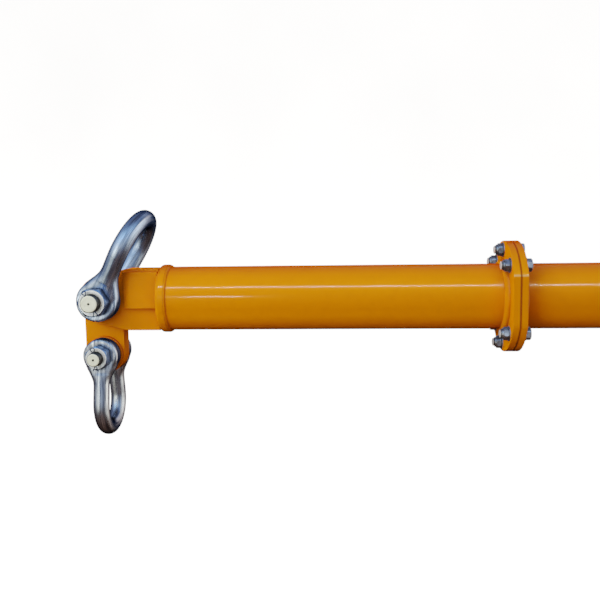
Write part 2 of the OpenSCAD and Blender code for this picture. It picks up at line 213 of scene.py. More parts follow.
# ---------------------------------------------------------------- materials
def paint(name, ear_rub_and_shade=(), weld=False, grease_and_shade=0.0, joint=None, corner_shade=0.80):
    """Semi-gloss orange-yellow paint: cloudy tone, orange peel, scuffs, worn edges, painted shade with blotchy
    soiling in the corners,
    and painted shade along the outline. rub: (distance from the middle, z, radius, strength) of round places
    where the shackle ears, rubbing on it, wear the paint; the strength sets a painted shadow with grease round
    the ear. soil: how dark the painted shade in the corners gets.
    grime: an even darkening added all over, painted shade with grease. joint: (x of a flange joint, half width
    across the flats, height of their corners), for its dark joint line and a painted highlight along the upper
    corners."""
    t = Tree(name)
    p = t.coords()
    x, y, z = t.add("ShaderNodeSeparateXYZ", Vector=p).outputs
    cloud = t.noise(p, 3.2, 3, 0.5)
    fine = t.noise(p, 38.0, 5, 0.6)
    speck = t.noise(p, 260.0, 2, 0.5)
    base = t.mix(t.ramp(cloud, [(0.30, 0.0), (0.72, 1.0)]), PAINT_A, PAINT_B)
    base = t.mix(t.mul(t.ramp(fine, [(0.42, 0.0), (0.70, 1.0)]), 0.30), base, PAINT_C)
    # faint rub marks running along the beam
    streak = t.noise(t.vmath("MULTIPLY", p, (2.0, 55.0, 55.0)), 1.6, 6, 0.62)
    base = t.mix(t.mul(t.ramp(streak, [(0.62, 0.0), (0.76, 1.0)]), 0.12), base, PAINT_DUST)
    # painted shade with blotchy soiling in corners and recesses
    shade = t.ramp(t.openness(0.045), [(0.22, 1.0), (0.55, 0.45), (0.92, 0.0)])
    shade_and_dirt = t.mul(shade, t.ramp(fine, [(0.25, 0.70), (0.6, 1.0)]))
    # an even darkening on top of it, painted shade with grease
    if grease_and_shade:
        shade_and_dirt = t.plus(shade_and_dirt, grease_and_shade, True)
    base = t.mix(t.mul(shade_and_dirt, corner_shade), base, PAINT_SHADE_AND_DIRT)
    if joint:
        seam, flat, corner = joint
        across = t.math("ABSOLUTE", t.math("SUBTRACT", t.math("ABSOLUTE", x), seam))
        above = t.math("ABSOLUTE", t.math("SUBTRACT", z, corner))
        rim = t.ramp(t.math("ABSOLUTE", y), [(flat - 0.0016, 0.0), (flat - 0.0010, 1.0)])
        # a painted highlight: a light line along the upper corners between the flats and the arc
        glint = t.mul(rim, t.ramp(above, [(0.0007, 1.0), (0.0020, 0.0)]))
        base = t.mix(t.mul(glint, 0.75), base, PAINT_GLINT)
        base = t.mix(t.ramp(across, [(0.0010, 0.95), (0.0019, 0.0)]), base, PAINT_GREASE_AND_SHADE)
    flakes = t.ramp(t.noise(p, 70.0, 6, 0.68), [(0.54, 0.0), (0.62, 1.0)])
    chips = t.mul(t.edges(0.0022, 0.06, 0.30), flakes)
    # loose chips away from the edges
    cells = t.add("ShaderNodeTexVoronoi", Vector=p, Scale=24.0, Randomness=1.0).outputs["Distance"]
    where = t.ramp(t.noise(p, 5.0, 2, 0.5), [(0.60, 0.0), (0.66, 1.0)])
    chips = t.math("MAXIMUM", chips, t.mul(t.ramp(cells, [(0.026, 1.0), (0.040, 0.0)]), where), True)
    # round each shackle ear: a ring of rubbed paint, and a painted shadow with grease darkening the paint round
    # the ear
    for px, pz, r, k in ear_rub_and_shade:
        dx, dz = t.math("SUBTRACT", t.math("ABSOLUTE", x), px), t.math("SUBTRACT", z, pz)
        rel = t.math("DIVIDE", t.math("SQRT", t.plus(t.mul(dx, dx), t.mul(dz, dz))), r)
        patchy = t.ramp(t.noise(t.vmath("MULTIPLY", p, (1, 0.2, 1)), 46.0, 5, 0.65), [(0.40, 0.0), (0.60, 1.0)])
        ring = t.mul(t.ramp(rel, [(0.72, 0.30), (0.88, 0.55), (0.96, 0.0)]), patchy)
        ear_shade_and_grease = t.ramp(rel, [(0.30, 0.95), (0.92, 0.80), (1.14, 0.0)], "EASE")
        base = t.mix(t.mul(ear_shade_and_grease, k), base, PAINT_GREASE_AND_SHADE)
        chips = t.math("MAXIMUM", chips, t.mul(ring, 0.6), True)
    under = t.mix(t.ramp(t.noise(p, 120.0, 4, 0.6), [(0.4, 0.0), (0.6, 1.0)]), PRIMER, BARE)
    col = t.mix(chips, base, under)
    # painted shade: a thin dark line along the outline where the underside turns away, and a darker tone along
    # the outline where the top does
    up = t.add("ShaderNodeSeparateXYZ", Vector=t.add("ShaderNodeNewGeometry").outputs["Normal"]).outputs[2]
    facing = t.facing()
    turn = t.ramp(facing, [(0.60, 0.0), (0.90, 1.0)])
    turn = t.mul(turn, t.ramp(t.plus(1.0, up), [(0.30, 1.0), (0.60, 0.0)]))
    col = t.mix(t.mul(turn, 0.85), col, PAINT_GREASE_AND_SHADE)
    crest = t.ramp(facing, [(0.28, 0.0), (0.46, 0.35), (0.60, 0.60), (0.80, 1.0)])
    crest = t.mul(crest, t.ramp(up, [(0.40, 0.0), (0.75, 1.0)]))
    col = t.mix(t.mul(crest, 0.80), col, PAINT_TOP_SHADE)
    # the gloss dies away towards the outline, so that no white veil lies on the sides
    veil = t.math("MAXIMUM", crest, t.ramp(facing, [(0.40, 0.0), (0.72, 1.0)]))
    gloss = t.math("SUBTRACT", 1.0, veil, True)
    height = t.plus(t.mul(t.noise(p, 330.0, 2.0, 0.5), 0.30), t.mul(fine, 0.22))
    height = t.math("SUBTRACT", height, t.mul(chips, 0.8))
    if weld:
        height = t.plus(height, t.mul(t.noise(p, 150.0, 4, 0.6), 0.8))
    rough = t.plus(t.ramp(cloud, [(0.3, 0.34), (0.7, 0.44)]), t.mul(speck, 0.06))
    rough = t.plus(rough, t.mul(shade_and_dirt, 0.25))
    rough = t.plus(rough, t.mul(chips, 0.20), True)
    return t.set(Base_Color=col, Roughness=rough, Metallic=t.mul(chips, 0.35),
                 Normal=t.bump(height, 0.22 if weld else 0.08, 0.0006),
                 Coat_Weight=t.mul(t.mul(gloss, t.math("SUBTRACT", 1.0, chips, True)), COAT),
                 Coat_Roughness=t.plus(0.10, t.mul(shade_and_dirt, 0.3)),
                 Specular_IOR_Level=t.mul(gloss, 0.085), Specular_Tint=(1.0, 0.40, 0.005))


def galvanised(name, tones):
    """Hot-dip galvanised forging: metal with drawn streaks along the bar, dull patches, painted shade in the
    corners and creases, and a painted dark reflection along the outline.
    tones: the two main colours, the pale streaks and the dark streaks."""
    t = Tree(name)
    main, second, pale, dark = tones
    p = t.coords()
    flow = t.add("ShaderNodeAttribute")
    flow.attribute_name = "flow"
    f = flow.outputs["Vector"]
    s0 = t.noise(t.vmath("MULTIPLY", f, (7.0, 125.0, 125.0)), 1.0, 3, 0.55, 0.2)
    s1 = t.noise(t.vmath("MULTIPLY", f, (15.0, 300.0, 300.0)), 1.0, 4, 0.60, 0.3)
    s2 = t.noise(t.vmath("MULTIPLY", f, (34.0, 820.0, 820.0)), 1.0, 3, 0.60)
    blotch = t.noise(p, 24.0, 5, 0.6, 0.6)
    broad = t.noise(t.vmath("MULTIPLY", f, (9.0, 60.0, 60.0)), 1.0, 4, 0.55)
    fleck = t.add("ShaderNodeTexVoronoi", Vector=p, Scale=150.0, Randomness=1.0)
    base = t.mix(t.ramp(broad, [(0.34, 0.0), (0.66, 1.0)]), main, second)
    base = t.mix(t.mul(t.ramp(s0, [(0.46, 0.0), (0.58, 1.0)]), 0.68), base, pale)
    base = t.mix(t.mul(t.ramp(s1, [(0.48, 0.0), (0.60, 1.0)]), 0.62), base, dark)
    base = t.mix(t.mul(t.ramp(s2, [(0.50, 0.0), (0.62, 1.0)]), 0.34), base, dark)
    base = t.mix(t.mul(t.ramp(fleck.outputs["Distance"], [(0.0, 1.0), (0.6, 0.0)]), 0.06), base, dark)
    # painted shade in the corners; the same mask roughens them
    shade_and_dirt = t.ramp(t.openness(0.030), [(0.20, 1.0), (0.80, 0.0)])
    base = t.mix(t.mul(shade_and_dirt, 0.50), base, srgb(38, 34, 38))
    # painted shade in tight creases, then a painted dark reflection along the outline
    base = t.mix(t.ramp(t.openness(0.007), [(0.45, 0.9), (0.85, 0.0)]), base, GALV_PAINTED_SHADE)
    rim = t.ramp(t.facing(), [(0.48, 0.0), (0.78, 1.0)])
    base = t.mix(t.mul(rim, 0.86), base, GALV_PAINTED_SHADE)
    rough = t.plus(t.ramp(s1, [(0.30, 0.15), (0.70, 0.30)]), t.mul(blotch, 0.08))
    rough = t.plus(rough, t.mul(shade_and_dirt, 0.25), True)
    h = t.plus(s0, t.mul(s1, 0.7))
    h = t.plus(h, t.mul(t.noise(p, 42.0, 4, 0.5), 1.2))
    return t.set(Base_Color=base, Metallic=1.0, Roughness=rough, Specular_Tint=(0.25, 0.30, 0.42),
                 Normal=t.bump(h, 0.36, 0.0012))


def zinc(name, a, b, lo_r=0.22, hi_r=0.40, grain=300.0, metal=1.0):
    """Zinc-plated machined steel: soft cloudy tone, fine turned grain, painted shade in the corners and a
    painted highlight on the edges.
    """
    t = Tree(name)
    p = t.coords()
    cloud = t.noise(p, 55.0, 5, 0.6)
    fine = t.noise(p, grain, 3, 0.6)
    base = t.mix(t.ramp(cloud, [(0.34, 0.0), (0.66, 1.0)]), a, b)
    # painted shade in the corners, which also roughens them
    shade_and_dirt = t.ramp(t.openness(0.008), [(0.25, 1.0), (0.80, 0.0)])
    base = t.mix(t.mul(shade_and_dirt, 0.75), base, srgb(44, 38, 32))
    # a painted highlight: lighter edges
    edge = t.edges(0.0010, 0.05, 0.25)
    base = t.mix(t.mul(edge, 0.35), base, srgb(235, 235, 232))
    rough = t.plus(t.ramp(cloud, [(0.3, lo_r), (0.7, hi_r)]), t.mul(shade_and_dirt, 0.3), True)
    h = t.plus(t.mul(fine, 0.5), t.mul(cloud, 0.5))
    return t.set(Base_Color=base, Metallic=metal, Roughness=rough, Normal=t.bump(h, 0.14, 0.0004))


PAINT_A = (0.90, 0.215, 0.0006)
PAINT_B = (0.82, 0.192, 0.0004)
PAINT_C = (0.74, 0.168, 0.0006)
PAINT_DUST = (0.90, 0.32, 0.02)
PAINT_TOP_SHADE = (0.45, 0.035, 0.0006)
PAINT_GLINT = (1.0, 0.66, 0.30)
PAINT_SHADE_AND_DIRT = (0.13, 0.022, 0.0015)
PAINT_GREASE_AND_SHADE = (0.085, 0.014, 0.0015)
COAT = 0.04
PRIMER = srgb(118, 72, 46)
BARE = srgb(120, 116, 112)
# main, second, pale streak and dark streak
GALV_BLUE = (srgb(188, 200, 216), srgb(150, 166, 190), srgb(236, 242, 246), srgb(84, 92, 110))
GALV_GREY = (srgb(196, 194, 192), srgb(128, 128, 136), srgb(254, 252, 244), srgb(50, 45, 56))
GALV_PAINTED_SHADE = srgb(22, 26, 36)

UPPER_X, LOWER_X, LOWER_Z = abs(U_PIN.x), abs(L_PIN.x), L_PIN.z
EAR_U, EAR_L = 0.0535, 0.046          # radii of the shackle ears
M_PAINT = paint("paint")
M_FLANGE = paint("paint_flange", joint=(abs(FL_X1), FL_Y, math.sqrt(FL_R ** 2 - FL_Y ** 2)))
M_WELD = paint("paint_weld", weld=True)
# painted shadow with grease round the shackle ears; the bosses behind the lower ear are darkened all over as
# well
M_FORK = paint("paint_fork", ear_rub_and_shade=[(UPPER_X, 0.0, EAR_U, 0.65)], corner_shade=0.5)
M_LINK = paint("paint_link", ear_rub_and_shade=[(UPPER_X, 0.0, 0.056, 0.4), (LOWER_X, LOWER_Z, EAR_L, 0.4)], corner_shade=0.4)
M_BOSS = paint("paint_boss", ear_rub_and_shade=[(LOWER_X, LOWER_Z, EAR_L, 0.5)], grease_and_shade=0.25)
M_GALV = galvanised("galvanised_forging", GALV_BLUE)
M_GALV_LOW = galvanised("galvanised_forging_low", GALV_GREY)
M_ZINC = zinc("zinc_pin", srgb(255, 254, 226), srgb(246, 246, 214), 0.30, 0.45, metal=0.20)
M_THREAD = zinc("oiled_thread", srgb(84, 78, 68), srgb(52, 48, 44), 0.35, 0.55)
M_HEAD = zinc("zinc_head", srgb(238, 236, 222), srgb(204, 202, 190), 0.20, 0.38, metal=0.65)
# pin nuts: a pale, less metallic copy of the zinc on the front face, painted as lit, and a darker blue copy on
# the flats, painted as shaded
M_NUT_LIT = zinc("zinc_nut", srgb(252, 253, 248), srgb(232, 236, 234), 0.22, 0.38, metal=0.30)
M_NUT_FLANK_SHADED = zinc("zinc_nut_flank", srgb(150, 166, 190), srgb(112, 124, 146), 0.20, 0.34)
M_WIRE = zinc("split_pin_wire", srgb(88, 90, 98), srgb(60, 62, 70), 0.25, 0.45)
M_BOLT = zinc("zinc_bolt", srgb(216, 210, 204), srgb(128, 120, 112), 0.10, 0.26, metal=0.95)
# a lighter, less metallic copy of the bolt zinc for the stud ends beyond the nuts, painted as lit
M_BOLT_TIP_LIT = zinc("zinc_bolt_tip", srgb(252, 250, 244), srgb(232, 230, 224), 0.24, 0.40, metal=0.20)


# ---------------------------------------------------------------- mesh helpers
def even_faces(ob):
    """Large flat faces set the shading, so that eased edges look crisp."""
    w = ob.modifiers.new("even faces", "WEIGHTED_NORMAL")
    w.mode, w.weight, w.keep_sharp = "FACE_AREA", 60, True


def make(name, verts, faces, mat, sharp=38.0, even=False):
    me = bpy.data.meshes.new(name)
    me.from_pydata([tuple(map(float, v)) for v in verts], [], [tuple(map(int, f)) for f in faces])
    me.validate()
    ob = bpy.data.objects.new(name, me)
    scene.collection.objects.link(ob)
    me.materials.append(mat)
    finish_mesh(ob, sharp)
    if even:
        even_faces(ob)
    return ob


def finish_mesh(ob, sharp=38.0, outward=True):
    bm = bmesh.new()
    bm.from_mesh(ob.data)
    if outward:
        bmesh.ops.recalc_face_normals(bm, faces=bm.faces)
    for f in bm.faces:
        f.smooth = True
    lim = math.radians(sharp)
    for e in bm.edges:
        e.smooth = len(e.link_faces) != 2 or e.calc_face_angle(0.0) < lim
    bm.to_mesh(ob.data)
    bm.free()


def grid_faces(nu, nv):
    """Quads over nu rows of nv points, each row a closed ring."""
    out = []
    for i in range(nu - 1):
        for j in range(nv):
            k = (j + 1) % nv
            out.append((i * nv + j, i * nv + k, (i + 1) * nv + k, (i + 1) * nv + j))
    return out


def lathe(rows, n=64, caps=True):
    """rows: list of (h, radius or function of angle), along local Z. Without caps the ends are joined."""
    verts = []
    ang = [2 * math.pi * j / n for j in range(n)]
    for h, r in rows:
        for a in ang:
            rr = r(a) if callable(r) else r
            verts.append((rr * math.cos(a), rr * math.sin(a), h))
    k = (len(rows) - 1) * n
    faces = grid_faces(len(rows), n)
    if caps:
        faces += [tuple(range(n - 1, -1, -1)), tuple(range(k, k + n))]
    else:
        faces += [(j, k + j, k + (j + 1) % n, (j + 1) % n) for j in range(n)]
    return np.array(verts), faces


def merge(parts):
    """Joins (verts, faces) pairs."""
    vs, fs, k = [], [], 0
    for v, f in parts:
        vs.append(np.asarray(v, float))
        fs += [tuple(i + k for i in q) for q in f]
        k += len(v)
    return np.vstack(vs), fs


def place(v, m):
    v = np.asarray(v, float)
    a = np.array(m, float)
    return v @ a[:3, :3].T + a[:3, 3]


TO_FRONT = Matrix(((1, 0, 0, 0), (0, 0, -1, 0), (0, 1, 0, 0), (0, 0, 0, 1)))   # local x, y, z to X, Z, -Y
TO_BACK_X = Matrix(((0, 0, -1, 0), (0, 1, 0, 0), (1, 0, 0, 0), (0, 0, 0, 1)))  # local z to -X
CROSS = Matrix(((0, 0, 1, 0), (1, 0, 0, 0), (0, 1, 0, 0), (0, 0, 0, 1)))       # local x, y, z to Y, Z, X


def thread_rows(h0, h1, r, pitch, depth, hand=1, per=8):
    """Lathe rows of a screw thread that runs out at both ends."""
    rows = []
    n = max(4, int((h1 - h0) / pitch * per))
    for i in range(n + 1):
        h = h0 + (h1 - h0) * i / n
        fade = min(1.0, (h - h0) / (pitch * 0.6), (h1 - h) / (pitch * 0.35))
        fade = max(0.0, fade)

        def rad(a, h=h, fade=fade):
            w = (h / pitch - hand * a / (2 * math.pi)) % 1.0
            tri = abs(w - 0.5) * 2
            return r - depth * fade * min(1.0, max(0.0, tri * 1.3 - 0.15))
        rows.append((h, rad))
    return rows


def hex_rows(af, h0, h1):
    """Lathe rows of a hexagon af wide across its flats, with 30-degree chamfers and softened corners."""
    apo = af / 2
    corner = apo / math.cos(math.pi / 6)
    face_r = apo * 0.955
    eased, flat_end, easing = 0.00072, math.radians(26), 0.004

    def hexr(a):
        w = (a + math.pi / 6) % (math.pi / 3) - math.pi / 6
        return min(apo / math.cos(w), corner - eased - max(0.0, abs(w) - flat_end) * easing)

    def at(h, limit):
        return (h, lambda a: min(hexr(a), limit))
    steps = [i / 6 for i in range(7)]
    slope = [((corner - face_r) * 0.58 * f, face_r + (corner - face_r) * f) for f in steps]
    return [at(h0 + d, r) for d, r in slope] + [at(h1 - d, r) for d, r in reversed(slope)]


def mirrored(ob, name):
    """The right-hand copy of a left-hand piece: the beam is the same about its middle."""
    new = ob.copy()
    new.data = me = ob.data.copy()
    new.name = me.name = name
    co = np.zeros(len(me.vertices) * 3, np.float32)
    me.vertices.foreach_get("co", co)
    co[0::3] *= -1
    me.vertices.foreach_set("co", co)
    me.flip_normals()
    me.update()
    scene.collection.objects.link(new)
    return new


TMP = "_tmp"


def to_right(ob):
    """A piece made at the left end as NAME_tmp becomes the piece NAME at the right end."""
    new = mirrored(ob, ob.name[:-len(TMP)])
    bpy.data.objects.remove(ob)
    return new


def use(ob, body, slot, *stands_for):
    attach(ob, body)
    if stands_for:
        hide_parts(*stands_for)
    return ob


def apply_modifiers(ob):
    dg = bpy.context.evaluated_depsgraph_get()
    me = bpy.data.meshes.new_from_object(ob.evaluated_get(dg), depsgraph=dg)
    ob.modifiers.clear()
    old = ob.data
    ob.data = me
    me.name = ob.name
    bpy.data.meshes.remove(old)


# ---------------------------------------------------------------- forged bow shackles
def bow_line(e, r, h, d0, n_leg=26, n_arc=64):
    """Centre line of a bow in its plane: points (across, up), and how far each is from its ear along the bar."""
    lean = math.atan2(h, e) - math.acos(r / math.hypot(e, h))
    leg = (h - r * math.sin(lean)) / math.cos(lean)
    pts, dist = [], []
    for i in range(n_leg):
        d = d0 + (leg - d0) * i / n_leg
        pts.append((-(e + d * math.sin(lean)), d * math.cos(lean)))
        dist.append(d)
    for i in range(n_arc + 1):
        a = math.pi + lean - (math.pi + 2 * lean) * i / n_arc
        pts.append((r * math.cos(a), h + r * math.sin(a)))
        dist.append(leg + min(i, n_arc - i) * r * (math.pi + 2 * lean) / n_arc)
    for i in range(n_leg - 1, -1, -1):
        d = d0 + (leg - d0) * i / n_leg
        pts.append((e + d * math.sin(lean), d * math.cos(lean)))
        dist.append(d)
    return np.array(pts), np.array(dist), leg


def forged_bow(name, mat, jaw, ear_t, ear_d, hole_d, neck_d, bar_d, bow_r, bow_h, voxel):
    """A forged bow: a bar swept round the bow, flaring into the ears, cast together by a voxel remesh."""
    e, R = (jaw + ear_t) / 2, ear_d / 2
    line, dist, leg = bow_line(e, bow_r, bow_h, R * 0.15)
    n = 40
    tan = np.gradient(line, axis=0)
    tan /= np.linalg.norm(tan, axis=1)[:, None]
    nor = np.stack([-tan[:, 1], tan[:, 0]], 1)
    verts = []
    for (y, z), d, nn in zip(line, dist, nor):
        t = min(1.0, max(0.0, (d - R * 0.30) / (R * 1.55)))
        flare = 0.5 + 0.5 * math.cos(math.pi * t)
        flare = flare ** 1.25
        up = min(1.0, d / leg)
        bar = (neck_d + (bar_d - neck_d) * up) / 2
        ax = bar + (R * 0.94 - bar) * flare
        if d < R * 1.1:
            ay = min(bar, ear_t / 2 * 0.985)
        else:
            ay = bar * (0.955 + 0.045 * min(1.0, (d - R * 1.1) / (R * 0.8)))
        power = 2 + 1.2 * flare     # 2 is an ellipse, more is squarer
        for j in range(n):
            a = 2 * math.pi * j / n
            c, s = math.cos(a), math.sin(a)
            k = 1.0 if flare < 0.02 else 1.0 / max(1e-6, (abs(c) ** power + abs(s) ** power) ** (1 / power))
            verts.append((ax * c * k, y + nn[0] * ay * s * k, z + nn[1] * ay * s * k))
    ends = [tuple(range(n - 1, -1, -1)), tuple(range((len(line) - 1) * n, len(line) * n))]
    parts = [(np.array(verts), grid_faces(len(line), n) + ends)]
    rim = 0.006
    for s in (-1, 1):
        rows = [(-ear_t / 2, R - rim)]
        rows += [(-ear_t / 2 + rim * (1 - math.cos(a)), R - rim + rim * math.sin(a))
                 for a in np.linspace(0.15, math.pi / 2, 6)]
        rows += [(-h, r) for h, r in reversed(rows)]
        v, f = lathe(rows, 72)
        parts.append((place(v, Matrix.Translation((0, s * e, 0)) @ TO_FRONT), f))
    v, f = merge(parts)
    ob = make(name, v, f, mat)
    rem = ob.modifiers.new("fuse", "REMESH")
    rem.mode, rem.voxel_size, rem.adaptivity = "VOXEL", voxel, 0.0
    sm = ob.modifiers.new("soften", "SMOOTH")
    sm.factor, sm.iterations = 0.5, 7
    apply_modifiers(ob)
    v, f = lathe([(-0.2, hole_d / 2), (0.2, hole_d / 2)], 72)
    cut = make(name + "_cut", place(v, TO_FRONT), f, mat)
    bo = ob.modifiers.new("hole", "BOOLEAN")
    bo.operation, bo.object = "DIFFERENCE", cut
    bo.solver = "EXACT"
    apply_modifiers(ob)
    bpy.data.objects.remove(cut)
    finish_mesh(ob, 40.0, outward=False)
    # flow coordinates along and round the bar, for the drawn streaks
    me = ob.data
    co = np.zeros(len(me.vertices) * 3, np.float32)
    me.vertices.foreach_get("co", co)
    co = co.reshape(-1, 3)
    arc = np.concatenate([[0], np.cumsum(np.linalg.norm(np.diff(line, axis=0), axis=1))])
    best = np.zeros(len(co), int)
    for a in range(0, len(co), 20000):
        d = ((co[a:a + 20000, None, 1:] - line[None]) ** 2).sum(2)
        best[a:a + 20000] = d.argmin(1)
    off = ((co[:, 1:] - line[best]) * nor[best]).sum(1)
    along = arc[best] + ((co[:, 1:] - line[best]) * tan[best]).sum(1)
    ang = np.arctan2(off, co[:, 0])
    flow = np.stack([along, np.sin(ang) * bar_d / 2, np.cos(ang) * bar_d / 2], 1).astype(np.float32)
    at = me.attributes.new("flow", "FLOAT_VECTOR", "POINT")
    at.data.foreach_set("vector", flow.ravel())
    return ob


VOX = 0.0021
u_lean = math.radians(28.5)
ub = forged_bow("upper_bow_forging_left", M_GALV, jaw=0.073, ear_t=0.044, ear_d=0.107, hole_d=0.0522,
                neck_d=0.0465, bar_d=0.0475, bow_r=0.090, bow_h=0.151, voxel=VOX)
ub.data.transform(Matrix.Translation(U_PIN) @ Matrix.Rotation(u_lean, 4, "Y"))
lb = forged_bow("lower_bow_forging_left", M_GALV_LOW, jaw=0.0605, ear_t=0.037, ear_d=0.092, hole_d=0.0427,
                neck_d=0.0405, bar_d=0.0415, bow_r=0.070, bow_h=0.134, voxel=VOX)
lb.data.transform(Matrix.Translation(L_PIN) @ Matrix.Rotation(math.pi, 4, "Y"))
use(mirrored(ub, "upper_bow_forging_right"), "upper_shackle_right", "galvanised", "upper_bow_right")
use(mirrored(lb, "lower_bow_forging_right"), "lower_shackle_right", "galvanised", "lower_bow_right")
use(ub, "upper_shackle_left", "galvanised", "upper_bow_left")
use(lb, "lower_shackle_left", "galvanised", "lower_bow_left")


# ---------------------------------------------------------------- shackle pins, nuts and split pins
PIN_PLAY = 0.0005      # side play of the head and nut on the ears


def pin_mesh(name, pin_d, thread_d, face, nut_t, head_af, head_t, end, hand):
    """Bolt-type pin, local Z towards the nut: hexagon head, plain shank, threaded end with a centre mark."""
    seat = face + PIN_PLAY
    r, rt = pin_d / 2, thread_d / 2
    head = lathe(hex_rows(head_af, -seat - head_t, -seat), 96)
    rows = [(-seat - 0.0002, r), (-seat + 0.02, r), (0.0, r), (seat - 0.002, r), (seat, r - 0.0012),
            (seat + 0.0005, rt), (seat + nut_t * 0.5, rt - 0.0008), (seat + nut_t * 0.8, rt)]
    rows += thread_rows(seat + nut_t * 0.85, end - 0.0016, rt, 0.0045, 0.0021, hand, 10)
    # the chamfered end, with a shallow ring and the centre mark
    rows += [(end - 0.0010, rt - 0.0014), (end - 0.0003, rt - 0.0022), (end, rt - 0.0030), (end, rt * 0.62),
             (end - 0.0002, rt * 0.60), (end - 0.0002, rt * 0.30), (end, 0.0034), (end - 0.0009, 0.0028),
             (end - 0.0028, 0.0008)]
    ob = make(name, *merge([head, lathe(rows, 96)]), M_ZINC, 34.0, True)
    ob.data.materials.append(M_THREAD)
    ob.data.materials.append(M_HEAD)
    for poly in ob.data.polygons:
        h, off = poly.center.z, math.hypot(poly.center.x, poly.center.y)
        if h < -seat - 0.0001:
            poly.material_index = 2
        elif seat + nut_t * 0.8 < h < end - 0.0012 or (h > end - 0.003 and off < 0.0030):
            poly.material_index = 1
    return ob


def nut_mesh(name, af, t, turn, thread_d, face):
    """Heavy hexagon nut with chamfered corners and a rounded thread mouth."""
    r0, rt = face + PIN_PLAY, thread_d / 2 - 0.0004
    r1 = r0 + t
    rows = [(r0, rt + 0.0025), (r0, af / 2 * 0.93)] + hex_rows(af, r0 + 0.0004, r1)
    rows += [(r1, af / 2 * 0.86), (r1 - 0.0006, af / 2 * 0.835), (r1 - 0.0006, rt + 0.0034),
             (r1 - 0.0014, rt + 0.0014), (r1 - 0.0030, rt)]
    v, f = lathe(rows, 96, caps=False)
    ob = make(name, place(v, Matrix.Rotation(turn, 4, "Z")), f, M_NUT_LIT, 28.0, True)
    # the flats take the shaded copy of the zinc, the front keeps the lit copy
    ob.data.materials.append(M_NUT_FLANK_SHADED)
    for poly in ob.data.polygons:
        if math.hypot(poly.center.x, poly.center.y) > af * 0.484:
            poly.material_index = 1
    return ob


def sweep(points, radius, n=14):
    """A round wire along points."""
    P = np.array(points, float)
    T = np.gradient(P, axis=0)
    T /= np.linalg.norm(T, axis=1)[:, None]
    verts = []
    for p, t in zip(P, T):
        a = np.cross(t, (0.0, 0.0, 1.0))
        a /= max(1e-9, np.linalg.norm(a))
        b = np.cross(a, t)
        for j in range(n):
            c, s = math.cos(2 * math.pi * j / n), math.sin(2 * math.pi * j / n)
            verts.append(p + a * c * radius + b * s * radius)
    m = len(P)
    return np.array(verts), grid_faces(m, n) + [tuple(range(n - 1, -1, -1)), tuple(range((m - 1) * n, m * n))]


def split_pin(name, thread_d, at, tilt, wire=0.0028):
    """Split pin in the plane across the thread: a round eye, two legs through the hole, two tails bent apart.
    Local axes: x across, y up along the hole, z towards the viewer."""
    half = thread_d / 2
    g = wire * 0.52
    eye, neck = 0.0052, half + 0.0030
    loop = []
    for i in range(25):
        a = math.radians(-70 + 320 * i / 24)
        loop.append((eye * math.cos(a), neck + eye * 1.05 + eye * math.sin(a), 0.0))
    tail_l = [(-g, -half - 0.001, 0), (-g - 0.0008, -half - 0.004, 0), (-g - 0.0034, -half - 0.008, 0.0006),
              (-g - 0.0074, -half - 0.0115, 0.0010)]
    tail_r = [(g, -half - 0.001, 0), (g + 0.0006, -half - 0.005, 0), (g + 0.0020, -half - 0.010, -0.0004),
              (g + 0.0044, -half - 0.0150, -0.0010)]
    pts = tail_r[::-1] + [(g, y, 0) for y in np.linspace(-half, half + 0.0005, 8)] + loop
    pts += [(-g, y, 0) for y in np.linspace(half + 0.0005, -half, 8)] + tail_l
    P = np.array(pts, float)
    for _ in range(2):   # soften the bends
        Q = P.copy()
        Q[1:-1] = (P[:-2] + 2 * P[1:-1] + P[2:]) / 4
        P = Q
    v, f = sweep(P, wire * 0.5)
    m = Matrix.Translation((0, 0, at)) @ Matrix.Rotation(tilt, 4, "Z")
    return make(name, place(v, m), f, M_WIRE, 60.0)


# name, pin axis, pin, nut width and turn, split pin's place and tilt
SETS = (
    ("upper", U_PIN,
     dict(pin_d=0.051, thread_d=0.045, face=0.0805, nut_t=0.030, head_af=0.076, head_t=0.026, end=0.132),
     0.069, math.radians(30), 0.122, math.radians(27)),
    ("lower", L_PIN,
     dict(pin_d=0.0415, thread_d=0.0345, face=0.06725, nut_t=0.028, head_af=0.062, head_t=0.022, end=0.118),
     0.057, math.radians(3), 0.108, math.radians(8)),
)
# side, hand of the thread before mirroring, first name
SIDES = (("left", 1, "left"), ("right", -1, "right" + TMP))
for which, origin, pin, nut_af, nut_turn, split_at, tilt in SETS:
    to = Matrix.Translation(origin) @ TO_FRONT
    for side, hand, tag in SIDES:
        a = pin_mesh(f"{which}_pin_turned_{tag}", hand=hand, **pin)
        b = nut_mesh(f"{which}_nut_faced_{tag}", nut_af, pin["nut_t"], nut_turn, pin["thread_d"], pin["face"])
        c = split_pin(f"{which}_split_pin_{tag}", pin["thread_d"], split_at, tilt)
        for ob, what, slot in ((a, "pin", "zinc"), (b, "nut", "zinc"), (c, "cotter", "steel")):
            ob.data.transform(to)
            if side == "right":
                ob = to_right(ob)
            use(ob, f"{which}_pin_set_{side}", slot, f"{which}_{what}_{side}")


# ---------------------------------------------------------------- flange bolts, nuts and washers
PCD_R = 0.120
ANGLES = [90, 45, 135, -45, -90, -135]
BOLT_R, BOLT_AF, HEAD_T, WASHER_T, NUT_T = 0.010, 0.030, 0.0126, 0.003, 0.016


